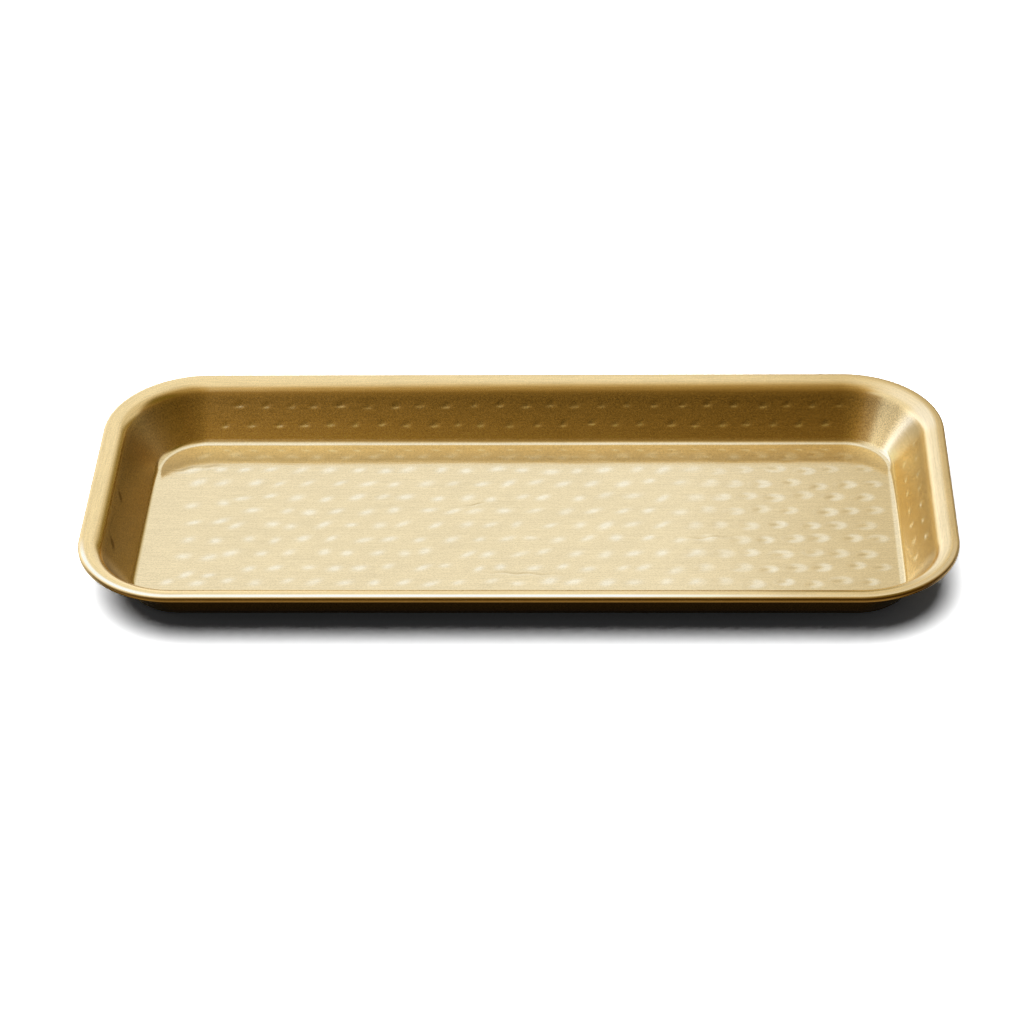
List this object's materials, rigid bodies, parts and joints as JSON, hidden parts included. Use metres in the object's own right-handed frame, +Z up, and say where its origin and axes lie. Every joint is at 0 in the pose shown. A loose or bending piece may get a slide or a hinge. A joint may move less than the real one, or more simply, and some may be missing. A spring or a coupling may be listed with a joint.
{
  "type": "coin tray",
  "caption": "Long shallow sheet-brass tray with rounded corners, sloping walls and a curled wired rim, for coins, keys and other small things.",
  "frame": {"origin": "centre of the flat underside, on the surface that the tray stands on", "axes": "+X along the tray's length, +Y across it, +Z up out of the open side"},
  "size_m": [0.24, 0.11, 0.0158],
  "materials": {
    "brass_sheet": "satin, hammered",
    "steel_wire": "drawn, bare"
  },
  "bodies": {
    "root": {"tray_shell": "brass_sheet", "rim_wire": "steel_wire"}
  },
  "joints": []
}
